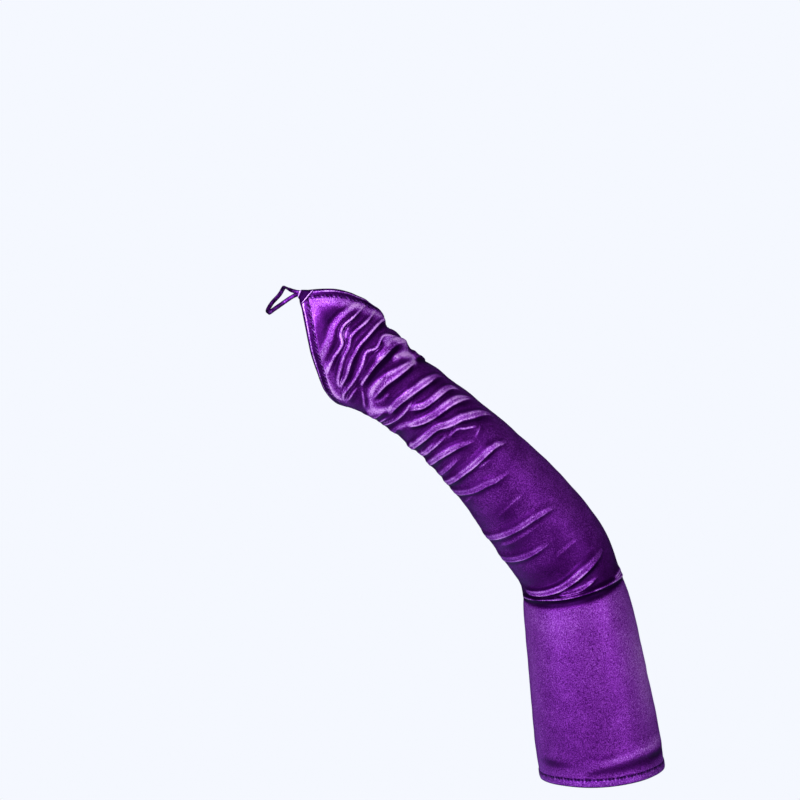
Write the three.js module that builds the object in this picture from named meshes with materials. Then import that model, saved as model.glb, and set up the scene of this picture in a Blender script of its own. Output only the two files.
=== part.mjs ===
import * as THREE from 'three';

// Long evening mitten in the bent form it keeps when worn. Millimetres, +Z up.
// The origin is the centre of the upper arm opening. -Y is the side that faces the viewer,
// which is also the back of the hand. Pieces: sleeve, arm_hem, hand_hem, point_tab, finger_loop.

// Lengths along the centre line.
const UPPER_ARM = 148;
const FOREARM = 190;
const HAND = 92;

// Widths of the upper arm opening, across and front to back.
const ARM_WIDTH = 88.8;
const ARM_DEPTH = 92;

// Cloth, hems, folds, tab and loop.
const WALL = 1.6;
const HEM_WIDTH = 6.3;
const HEM_STEP = 0.4;
const GAP = 0.35;
const FOLD_HEIGHT = 4;
const FOLD_WIDTH = 8;
const SEAM_DEPTH = 0.7;
const SEAM_WIDTH = 4;
const TAB_THICKNESS = 1.1;
const STRAP_WIDTH = 2.9;
const STRAP_THICKNESS = 1.5;
const LOOP_LENGTH = 26;

// A reach counts spans: 0 to 1 is the upper arm, 1 to 2 the forearm, 2 to 3 the hand.
// An around is in degrees: 0 faces the viewer, 90 the outer side, -90 the thumb side, 180 the underside.

// Course of the centre line.
// reach, lean left of upright in degrees, pitch towards the viewer in degrees
const COURSE = [
  [0.00, 9, 5],
  [0.60, 9, 5],
  [0.85, 12, 6],
  [1.00, 19, 10],
  [1.13, 37, 15],
  [1.40, 41, 20],
  [1.70, 48, 20],
  [2.00, 55, 16],
  [2.40, 51, 6],
  [3.00, 32, 0],
];

// Oval sections of the arm and hand.
// reach, width as a share of ARM_WIDTH, depth as a share of ARM_DEPTH
const SECTIONS = [
  [0.00, 1.00, 1.00],
  [0.10, 1.01, 0.98],
  [0.50, 0.94, 0.95],
  [0.80, 0.87, 0.90],
  [1.00, 0.79, 0.84],
  [1.12, 0.80, 0.80],
  [1.30, 0.77, 0.76],
  [1.55, 0.67, 0.66],
  [1.80, 0.60, 0.54],
  [2.00, 0.58, 0.48],
  [2.15, 0.64, 0.46],
  [2.40, 0.76, 0.44],
  [2.70, 0.79, 0.37],
  [3.00, 0.82, 0.28],
];

// Edge of the upper arm opening.
// around in degrees, reach
const ARM_EDGE = [
  [-180, -0.020],
  [-90, 0.010],
  [-45, 0.025],
  [0, 0.015],
  [45, 0.000],
  [90, -0.020],
  [180, -0.020],
];

// Edge of the hand opening, from the seam round the thumb side to the point, and on to the seam.
// around in degrees, reach
const THUMB_EDGE = [
  [-180, 2.190],
  [-140, 2.215],
  [-108, 2.235],
  [-90, 2.285],
  [-58, 2.440],
  [-24, 2.685],
  [-3, 2.880],
  [5, 3.000],
];
const OUTER_EDGE = [
  [5, 3.000],
  [24, 2.935],
  [46, 2.830],
  [66, 2.690],
  [90, 2.500],
  [128, 2.310],
  [150, 2.235],
  [180, 2.190],
];

// Folds that stand out from the arm, each a crest from one side of the arm to another.
// from and to in degrees, reach at the start, middle and end, width share, height share
const FOLDS = [
  [72, -32, 0.110, 0.120, 0.090, 0.8, 0.30],
  [80, -90, 0.935, 0.945, 0.950, 0.7, 0.60],
  [28, -24, 1.000, 0.965, 0.970, 0.5, 0.35],
  [50, -76, 1.065, 1.010, 1.000, 0.8, 0.60],
  [24, -10, 1.150, 1.155, 1.155, 0.6, 0.15],
  [2, -100, 1.220, 1.215, 1.195, 0.8, 0.50],
  [30, -100, 1.305, 1.340, 1.300, 0.8, 0.55],
  [5, -40, 1.435, 1.435, 1.415, 0.7, 0.15],
  [16, -100, 1.525, 1.550, 1.545, 0.7, 0.50],
  [46, -100, 1.595, 1.640, 1.585, 0.8, 0.60],
  [-14, -95, 1.695, 1.680, 1.640, 0.6, 0.30],
  [16, -98, 1.695, 1.740, 1.695, 0.8, 0.60],
  [30, -18, 1.715, 1.765, 1.770, 0.4, 0.30],
  [-4, -96, 1.790, 1.785, 1.760, 0.5, 0.35],
  [72, -98, 1.675, 1.820, 1.800, 0.8, 0.70],
  [72, -42, 1.750, 1.855, 1.910, 0.7, 0.65],
  [-36, -92, 1.935, 1.935, 1.900, 0.6, 0.40],
  [68, -18, 1.820, 1.890, 1.945, 0.6, 0.55],
  [68, -44, 1.895, 1.965, 1.985, 0.8, 0.70],
  [-3, -92, 1.955, 1.955, 1.955, 0.4, 0.38],
  [58, -36, 2.015, 2.105, 2.130, 0.9, 0.80],
  [-28, -96, 2.105, 2.075, 2.040, 1.2, 0.45],
  [84, -64, 2.140, 2.250, 2.130, 0.9, 0.90],
  [48, -66, 2.305, 2.325, 2.250, 0.5, 0.35],
  [64, -43, 2.390, 2.410, 2.335, 0.6, 0.55],
  [68, -43, 2.485, 2.495, 2.335, 0.6, 0.50],
  [66, -39, 2.575, 2.570, 2.465, 0.6, 0.45],
  [60, -30, 2.600, 2.655, 2.545, 1.0, 0.45],
  [258, 150, 0.945, 1.010, 0.985, 1.2, 0.40],
  [272, 205, 1.195, 1.180, 1.200, 0.9, 0.40],
  [272, 170, 1.300, 1.335, 1.360, 0.9, 0.40],
  [272, 215, 1.545, 1.525, 1.520, 0.8, 0.40],
  [274, 150, 1.590, 1.600, 1.570, 0.9, 0.45],
  [272, 130, 1.700, 1.690, 1.650, 0.8, 0.50],
  [274, 110, 1.805, 1.800, 1.730, 0.8, 0.55],
  [272, 190, 1.905, 1.880, 1.885, 0.7, 0.45],
  [180, 84, 1.840, 1.830, 1.790, 0.7, 0.40],
  [270, 140, 1.960, 1.965, 1.940, 0.7, 0.45],
  [200, 80, 2.010, 1.985, 1.900, 0.8, 0.50],
  [268, 175, 2.045, 2.065, 2.080, 0.9, 0.45],
];

// Creases that sink towards the arm, laid out like the folds.
const CREASES = [
  [76, -86, 0.920, 0.920, 0.930, 0.5, 0.45],
  [42, -52, 2.185, 2.210, 2.120, 0.7, 0.30],
];

// Share of a fold's length over which it rises at each end.
const FOLD_RISE = 0.2;

// Course of the finger loop from the point, round the finger and back.
// shares of LOOP_LENGTH to the right, away and up from the tip of the point,
// then the side its face is turned to: right, away, up
const LOOP = [
  [-0.060, 0.030, -0.060, 0.0, -1.0, 0.1],
  [-0.230, -0.010, -0.170, 0.0, -1.0, 0.2],
  [-0.480, 0.000, -0.340, -0.1, -1.0, 0.0],
  [-0.710, 0.190, -0.480, -0.4, -0.8, -0.5],
  [-0.850, 0.450, -0.550, -0.6, -0.2, -0.8],
  [-0.890, 0.720, -0.460, -0.5, 0.5, -0.7],
  [-0.790, 0.880, -0.260, -0.2, 1.0, -0.2],
  [-0.600, 0.820, -0.060, 0.3, 0.8, 0.5],
  [-0.480, 0.620, 0.100, 0.5, 0.4, 0.8],
  [-0.400, 0.350, 0.150, 0.6, -0.3, 0.8],
  [-0.280, 0.130, 0.130, 0.4, -0.8, 0.6],
  [-0.150, 0.020, 0.090, 0.1, -1.0, 0.3],
  [-0.050, 0.030, 0.075, 0.0, -1.0, 0.1],
];

// A smooth curve through table rows that never overshoots between them.
function curve(rows, column) {
  const x = rows.map((row) => row[0]);
  const y = rows.map((row) => row[column]);
  const slope = x.slice(1).map((value, i) => (y[i + 1] - y[i]) / (value - x[i]));
  const tangent = y.map((value, i) => {
    if (i === 0) return slope[0];
    if (i === y.length - 1) return slope[i - 1];
    if (slope[i - 1] * slope[i] <= 0) return 0;
    return (2 * slope[i - 1] * slope[i]) / (slope[i - 1] + slope[i]);
  });
  return (at) => {
    const clamped = Math.min(Math.max(at, x[0]), x[x.length - 1]);
    let i = 0;
    while (i < x.length - 2 && clamped > x[i + 1]) i += 1;
    const step = x[i + 1] - x[i];
    const t = (clamped - x[i]) / step;
    const rise = y[i] * (1 + 2 * t) * (1 - t) ** 2 + y[i + 1] * t * t * (3 - 2 * t);
    return rise + step * t * (1 - t) * (tangent[i] * (1 - t) - tangent[i + 1] * t);
  };
}

// Reach of each opening edge. The hand edge has a corner at the point.
const POINT_AROUND = THUMB_EDGE[THUMB_EDGE.length - 1][0];
const armEdgeAt = curve(ARM_EDGE, 1);
const thumbEdgeAt = curve(THUMB_EDGE, 1);
const outerEdgeAt = curve(OUTER_EDGE, 1);
const handEdgeAt = (around) => (around < POINT_AROUND ? thumbEdgeAt(around) : outerEdgeAt(around));

// Distance along the centre line for a reach.
function alongAt(reach) {
  if (reach < 1) return reach * UPPER_ARM;
  if (reach < 2) return UPPER_ARM + (reach - 1) * FOREARM;
  return UPPER_ARM + FOREARM + (reach - 2) * HAND;
}

const leanAt = curve(COURSE, 1);
const pitchAt = curve(COURSE, 2);
const widthAt = curve(SECTIONS, 1);
const depthAt = curve(SECTIONS, 2);

// Direction of the centre line, and the two directions across it.
function axesAt(reach) {
  const lean = THREE.MathUtils.degToRad(leanAt(reach));
  const pitch = THREE.MathUtils.degToRad(pitchAt(reach));
  const ahead = new THREE.Vector3(
    -Math.sin(lean) * Math.cos(pitch),
    -Math.sin(pitch),
    Math.cos(lean) * Math.cos(pitch),
  );
  const outer = new THREE.Vector3(Math.cos(lean), 0, Math.sin(lean));
  const front = new THREE.Vector3().crossVectors(outer, ahead);
  return { ahead, outer, front };
}

// Centre line points at even steps of reach, added up from the arm opening.
const SPANS = 3;
const CENTRE_STEPS = 240;
const centreLine = [new THREE.Vector3(0, 0, 0)];
for (let i = 0; i < SPANS * CENTRE_STEPS; i += 1) {
  const from = i / CENTRE_STEPS;
  const to = (i + 1) / CENTRE_STEPS;
  const length = alongAt(to) - alongAt(from);
  const step = axesAt((from + to) / 2).ahead.multiplyScalar(length);
  centreLine.push(centreLine[i].clone().add(step));
}

function centreAt(reach) {
  if (reach < 0) {
    return axesAt(0).ahead.multiplyScalar(reach * UPPER_ARM);
  }
  const at = Math.min(reach, SPANS) * CENTRE_STEPS;
  const i = Math.min(Math.floor(at), SPANS * CENTRE_STEPS - 1);
  return centreLine[i].clone().lerp(centreLine[i + 1], at - i);
}

// A point on the plain oval arm form, lifted outwards.
function formPoint(reach, around, lift) {
  const { outer, front } = axesAt(reach);
  const angle = THREE.MathUtils.degToRad(around);
  const across = (widthAt(reach) * ARM_WIDTH) / 2 + lift;
  const deep = (depthAt(reach) * ARM_DEPTH) / 2 + lift;
  return centreAt(reach)
    .addScaledVector(outer, across * Math.sin(angle))
    .addScaledVector(front, deep * Math.cos(angle));
}

const FULL_TURN = 360;
const HALF_TURN = 180;

// Height share of one fold at a place on the arm.
function foldShare(row, reach, around) {
  const [from, to, start, middle, end, width] = row;
  const turns = Math.round((around - (from + to) / 2) / FULL_TURN);
  const t = (from + turns * FULL_TURN - around) / (from - to);
  if (t <= 0 || t >= 1) return 0;
  const crest = start * (1 - t) * (1 - 2 * t) + 4 * middle * t * (1 - t) + end * t * (2 * t - 1);
  const distance = Math.abs(alongAt(reach) - alongAt(crest)) / (width * FOLD_WIDTH);
  if (distance >= 1) return 0;
  const rise = Math.min(1, t / FOLD_RISE, (1 - t) / FOLD_RISE);
  return (1 - distance) ** 2 * (1 + 1.6 * distance) * Math.sin((rise * Math.PI) / 2);
}

// How far the cloth stands out from the arm form.
function reliefAt(reach, around) {
  let stack = 0;
  for (const row of FOLDS) stack += (row[6] * foldShare(row, reach, around)) ** 2;
  let sink = 0;
  for (const row of CREASES) sink = Math.max(sink, row[6] * foldShare(row, reach, around));
  const degreeLength = (widthAt(reach) * ARM_WIDTH * Math.PI) / FULL_TURN;
  const fromSeam = (HALF_TURN - Math.abs(around)) * degreeLength;
  const seam = Math.max(0, 1 - fromSeam / (SEAM_WIDTH / 2));
  return FOLD_HEIGHT * (Math.sqrt(stack) - sink) - SEAM_DEPTH * seam;
}

function clothPoint(reach, around, lift) {
  return formPoint(reach, around, reliefAt(reach, around) + lift);
}

// An opening edge as a dense line of points, for measuring distance from it.
function edgeLine(edgeAt) {
  const points = [];
  for (let around = -HALF_TURN; around < HALF_TURN; around += 1) {
    points.push(formPoint(edgeAt(around), around, 0));
  }
  return points;
}

// The two openings: the reach of the edge, its line, and the way in from it.
const armOpening = { edgeAt: armEdgeAt, line: edgeLine(armEdgeAt), inwards: 1 };
const handOpening = { edgeAt: handEdgeAt, line: edgeLine(handEdgeAt), inwards: -1 };

// The reach that lies a set distance in from an opening edge.
const SEARCH_STEP = 0.01;
const HALVINGS = 12;

function insetReach(opening, around, distance) {
  const clear = (reach) => {
    const here = formPoint(reach, around, 0);
    return opening.line.every((point) => point.distanceTo(here) >= distance);
  };
  let near = opening.edgeAt(around);
  let far = near + opening.inwards * SEARCH_STEP;
  while (!clear(far)) {
    near = far;
    far += opening.inwards * SEARCH_STEP;
  }
  for (let halving = 0; halving < HALVINGS; halving += 1) {
    const middle = (near + far) / 2;
    if (clear(middle)) far = middle;
    else near = middle;
  }
  return far;
}

// Columns round the arm and rings along it, closer together where the cloth is folded.
const SLEEVE_AROUND = [
  -180, -173, -155, -135, -117, -102, -90, -78, -66, -54, -42, -30, -18, -6, 5, 15, 27, 39, 51, 63, 76,
  90, 106, 124, 142, 160, 173,
];
// reach at the start of a run, reach at its end, rings in it
const RING_RUNS = [
  [0.00, 0.20, 5],
  [0.20, 0.86, 8],
  [0.86, 1.06, 11],
  [1.06, 1.50, 14],
  [1.50, 2.00, 27],
  [2.00, 3.00, 28],
];
const ringReaches = RING_RUNS.flatMap(([from, to, count]) =>
  Array.from({ length: count }, (unused, i) => from + ((to - from) * i) / count),
);
ringReaches.push(SPANS);

// Joins closed loops of points into one closed skin. Each loop runs the same way round.
function skin(loops) {
  const size = loops[0].length;
  const positions = loops.flat().flatMap((point) => [point.x, point.y, point.z]);
  const indices = [];
  for (let i = 0; i < loops.length; i += 1) {
    const next = (i + 1) % loops.length;
    for (let j = 0; j < size; j += 1) {
      const k = (j + 1) % size;
      indices.push(i * size + j, next * size + j, next * size + k);
      indices.push(i * size + j, next * size + k, i * size + k);
    }
  }
  const geometry = new THREE.BufferGeometry();
  geometry.setAttribute('position', new THREE.Float32BufferAttribute(positions, 3));
  geometry.setIndex(indices);
  geometry.computeVertexNormals();
  return geometry;
}

// Rings below ARM_BLEND and above HAND_BLEND are spread to meet the slanted hems.
const ARM_BLEND = 0.2;
const HAND_BLEND = 1.9;

// Sleeve: an outer skin from the arm end to the hand end and an inner skin back again.
function sleeveGeometry() {
  const starts = SLEEVE_AROUND.map((around) => insetReach(armOpening, around, HEM_WIDTH + GAP));
  const ends = SLEEVE_AROUND.map((around) => insetReach(handOpening, around, HEM_WIDTH + GAP));
  const place = (ring, column) => {
    if (ring < ARM_BLEND) {
      return THREE.MathUtils.lerp(starts[column], ARM_BLEND, ring / ARM_BLEND);
    }
    if (ring > HAND_BLEND) {
      return THREE.MathUtils.lerp(HAND_BLEND, ends[column], (ring - HAND_BLEND) / (SPANS - HAND_BLEND));
    }
    return ring;
  };
  const loop = (ring, lift) =>
    SLEEVE_AROUND.map((around, column) => clothPoint(place(ring, column), around, lift));
  const outside = ringReaches.map((ring) => loop(ring, 0));
  const inside = ringReaches.map((ring) => loop(ring, -WALL)).reverse();
  return skin([...outside, ...inside]);
}

// Hem columns: the sleeve's own, and halfway ones between them.
const HEM_AROUND = SLEEVE_AROUND.flatMap((around, i) => {
  const next = i + 1 < SLEEVE_AROUND.length ? SLEEVE_AROUND[i + 1] : HALF_TURN;
  return [around, (around + next) / 2];
});

// A turned hem: a band between an opening edge and a line set in from it.
function hemGeometry(opening) {
  const edges = HEM_AROUND.map((around) => opening.edgeAt(around));
  const own = SLEEVE_AROUND.map((around) => insetReach(opening, around, HEM_WIDTH));
  const insets = HEM_AROUND.map((around, i) => {
    const near = own[Math.floor(i / 2)];
    const next = own[(Math.floor(i / 2) + 1) % own.length];
    return i % 2 === 0 ? near : (near + next) / 2;
  });
  // share of the way in from the edge, lift
  const profile = [
    [1.00, HEM_STEP],
    [0.50, HEM_STEP * 1.5],
    [0.08, HEM_STEP],
    [0.00, -WALL / 2],
    [0.08, -WALL - HEM_STEP],
    [1.00, -WALL - HEM_STEP],
  ];
  const loops = profile.map(([share, lift]) =>
    HEM_AROUND.map((around, i) => {
      const reach = edges[i] + share * (insets[i] - edges[i]);
      return clothPoint(reach, around, lift);
    }));
  return skin(loops);
}

// Corners of the tab over the point.
// along the hem edges as around in degrees, reach
const TAB_CORNERS = [
  [-1, 2.990],
  [13, 3.020],
  [24, 2.925],
  [-2, 2.885],
];

// Tab: a small four-sided patch lying just above the hand hem.
function tabGeometry() {
  const cells = 4;
  const corner = (i) => new THREE.Vector2(...TAB_CORNERS[i]);
  const lowest = HEM_STEP * 1.5 + GAP;
  const layer = (lift) => {
    const points = [];
    for (let i = 0; i <= cells; i += 1) {
      for (let j = 0; j <= cells; j += 1) {
        const front = corner(0).lerp(corner(1), j / cells);
        const back = corner(3).lerp(corner(2), j / cells);
        const at = front.lerp(back, i / cells);
        const rise = HEM_STEP * Math.sin((Math.PI * (i + j)) / (2 * cells));
        points.push(formPoint(at.y, at.x, lift + rise + Math.max(0, reliefAt(at.y, at.x))));
      }
    }
    return points;
  };
  const bottom = layer(lowest);
  const top = layer(lowest + TAB_THICKNESS);
  const row = cells + 1;
  const count = row * row;
  const positions = [...bottom, ...top].flatMap((point) => [point.x, point.y, point.z]);
  const indices = [];
  for (let i = 0; i < cells; i += 1) {
    for (let j = 0; j < cells; j += 1) {
      const a = i * row + j;
      indices.push(a, a + 1, a + row + 1, a, a + row + 1, a + row);
      indices.push(count + a, count + a + row + 1, count + a + 1);
      indices.push(count + a, count + a + row, count + a + row + 1);
    }
  }
  const rim = [];
  for (let j = 0; j < cells; j += 1) rim.push(j);
  for (let i = 0; i < cells; i += 1) rim.push(i * row + cells);
  for (let j = cells; j > 0; j -= 1) rim.push(cells * row + j);
  for (let i = cells; i > 0; i -= 1) rim.push(i * row);
  rim.forEach((a, i) => {
    const b = rim[(i + 1) % rim.length];
    indices.push(a, count + a, count + b, a, count + b, b);
  });
  const geometry = new THREE.BufferGeometry();
  geometry.setAttribute('position', new THREE.Float32BufferAttribute(positions, 3));
  geometry.setIndex(indices);
  geometry.computeVertexNormals();
  return geometry;
}

// Section of the strap.
// share of STRAP_WIDTH across, share of STRAP_THICKNESS through
const STRAP_SECTION = [
  [0.5, 0.3],
  [0.0, 0.5],
  [-0.5, 0.3],
  [-0.5, -0.3],
  [0.0, -0.5],
  [0.5, -0.3],
];

// Loop: a flat strap swept along its course, its ends side by side in front of the point.
function loopGeometry() {
  const tip = formPoint(SPANS, POINT_AROUND, 0);
  const vector = (row, from) => new THREE.Vector3(row[from], row[from + 1], row[from + 2]);
  const places = LOOP.map((row) => vector(row, 0).multiplyScalar(LOOP_LENGTH).add(tip));
  const path = new THREE.CatmullRomCurve3(places, false, 'centripetal');
  const facing = new THREE.CatmullRomCurve3(LOOP.map((row) => vector(row, 3)), false, 'catmullrom');
  const stations = 34;
  const corners = [];
  for (let i = 0; i <= stations; i += 1) {
    const centre = path.getPoint(i / stations);
    const ahead = path.getTangent(i / stations);
    const side = facing.getPoint(i / stations).cross(ahead).normalize();
    const face = new THREE.Vector3().crossVectors(ahead, side).normalize();
    corners.push(STRAP_SECTION.map(([across, through]) => centre.clone()
      .addScaledVector(side, across * STRAP_WIDTH)
      .addScaledVector(face, through * STRAP_THICKNESS)));
  }
  const size = STRAP_SECTION.length;
  const positions = corners.flat().flatMap((point) => [point.x, point.y, point.z]);
  const indices = [];
  for (let i = 0; i < stations; i += 1) {
    for (let j = 0; j < size; j += 1) {
      const k = (j + 1) % size;
      indices.push(i * size + j, i * size + k, (i + 1) * size + k);
      indices.push(i * size + j, (i + 1) * size + k, (i + 1) * size + j);
    }
  }
  const last = stations * size;
  for (let j = 1; j < size - 1; j += 1) {
    indices.push(0, j + 1, j);
    indices.push(last, last + j, last + j + 1);
  }
  const geometry = new THREE.BufferGeometry();
  geometry.setAttribute('position', new THREE.Float32BufferAttribute(positions, 3));
  geometry.setIndex(indices);
  geometry.computeVertexNormals();
  return geometry;
}

// Turns a skin right side out when its volume comes out negative.
function facingOut(geometry) {
  const place = geometry.getAttribute('position');
  const index = geometry.getIndex();
  const corner = (i) => new THREE.Vector3().fromBufferAttribute(place, index.getX(i));
  let volume = 0;
  for (let i = 0; i < index.count; i += 3) {
    volume += corner(i).dot(corner(i + 1).cross(corner(i + 2)));
  }
  if (volume < 0) {
    for (let i = 0; i < index.count; i += 3) {
      const kept = index.getX(i + 1);
      index.setX(i + 1, index.getX(i + 2));
      index.setX(i + 2, kept);
    }
    geometry.computeVertexNormals();
  }
  return geometry;
}

const satin = new THREE.MeshStandardMaterial({ color: 0x8424a8, roughness: 0.4, metalness: 0 });
const trim = new THREE.MeshStandardMaterial({ color: 0x5c1280, roughness: 0.45, metalness: 0 });

const group = new THREE.Group();
const pieces = [
  ['sleeve', sleeveGeometry(), satin],
  ['arm_hem', hemGeometry(armOpening), trim],
  ['hand_hem', hemGeometry(handOpening), trim],
  ['point_tab', tabGeometry(), trim],
  ['finger_loop', loopGeometry(), trim],
];
for (const [name, geometry, material] of pieces) {
  const mesh = new THREE.Mesh(facingOut(geometry), material);
  mesh.name = name;
  group.add(mesh);
}

export default group;
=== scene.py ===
import math

import bpy
import numpy as np
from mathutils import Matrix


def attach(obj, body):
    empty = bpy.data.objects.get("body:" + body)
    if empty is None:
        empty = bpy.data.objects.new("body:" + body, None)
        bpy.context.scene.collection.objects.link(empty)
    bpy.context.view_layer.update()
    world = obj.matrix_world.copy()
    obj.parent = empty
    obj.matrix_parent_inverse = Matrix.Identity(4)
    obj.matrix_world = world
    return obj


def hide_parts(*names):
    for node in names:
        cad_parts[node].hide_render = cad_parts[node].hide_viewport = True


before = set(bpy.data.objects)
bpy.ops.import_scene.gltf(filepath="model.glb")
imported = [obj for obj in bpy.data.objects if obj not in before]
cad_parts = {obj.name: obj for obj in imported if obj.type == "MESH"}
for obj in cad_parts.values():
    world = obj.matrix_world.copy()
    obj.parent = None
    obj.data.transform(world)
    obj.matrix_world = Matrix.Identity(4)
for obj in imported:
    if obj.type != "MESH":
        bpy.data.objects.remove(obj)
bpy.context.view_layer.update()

# Sleeve
# The long tube of purple stretch satin, from the wide opening at its top to the point at its far end.
# It keeps the bent form it has when worn, gathered from elbow to hand, and is sewn along its underside.

UPPER_ARM = 148.0  # mm, arm opening to elbow crease
FOREARM = 190.0  # mm, elbow crease to wrist
HAND = 92.0  # mm, wrist to the point
ARM_WIDTH = 88.8  # mm
ARM_DEPTH = 92.0  # mm
WALL = 1.4  # mm
HEM_WIDTH = 6.3  # mm
POINT_AROUND = 5.0  # degrees, where the point of the hand opening lies

# A reach counts spans: 0 to 1 is the upper arm, 1 to 2 the forearm, 2 to 3 the hand.
# An around is in degrees: 0 faces the viewer, 90 the outer side, -90 the thumb side, 180 the underside.

# reach, lean left of upright in degrees, pitch towards the viewer in degrees
COURSE = np.array([
    (0.00, 9, 5), (0.60, 9, 5), (0.85, 12, 6), (1.00, 19, 10), (1.13, 37, 15),
    (1.40, 41, 20), (1.70, 48, 20), (2.00, 55, 16), (2.40, 51, 6), (3.00, 32, 0),
])

# reach, width as a share of ARM_WIDTH, depth as a share of ARM_DEPTH
SECTIONS = np.array([
    (0.00, 1.00, 1.00), (0.10, 1.01, 0.98), (0.50, 0.94, 0.95), (0.80, 0.87, 0.90), (1.00, 0.79, 0.84),
    (1.12, 0.80, 0.80), (1.30, 0.77, 0.76), (1.55, 0.67, 0.66), (1.80, 0.60, 0.54), (2.00, 0.58, 0.48),
    (2.15, 0.64, 0.46), (2.40, 0.76, 0.44), (2.70, 0.79, 0.37), (3.00, 0.82, 0.28),
])

# around, reach
ARM_EDGE = np.array([
    (-180, -0.020), (-90, 0.010), (-45, 0.025), (0, 0.015), (45, 0.000), (90, -0.020), (180, -0.020),
])
THUMB_EDGE = np.array([
    (-180, 2.190), (-140, 2.215), (-108, 2.235), (-90, 2.285), (-58, 2.440), (-24, 2.685),
    (-5, 2.885), (-2, 2.940), (5, 3.000),
])
OUTER_EDGE = np.array([
    (5, 3.000), (24, 2.935), (46, 2.830), (66, 2.690), (90, 2.500), (128, 2.310), (150, 2.235),
    (180, 2.190),
])

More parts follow.
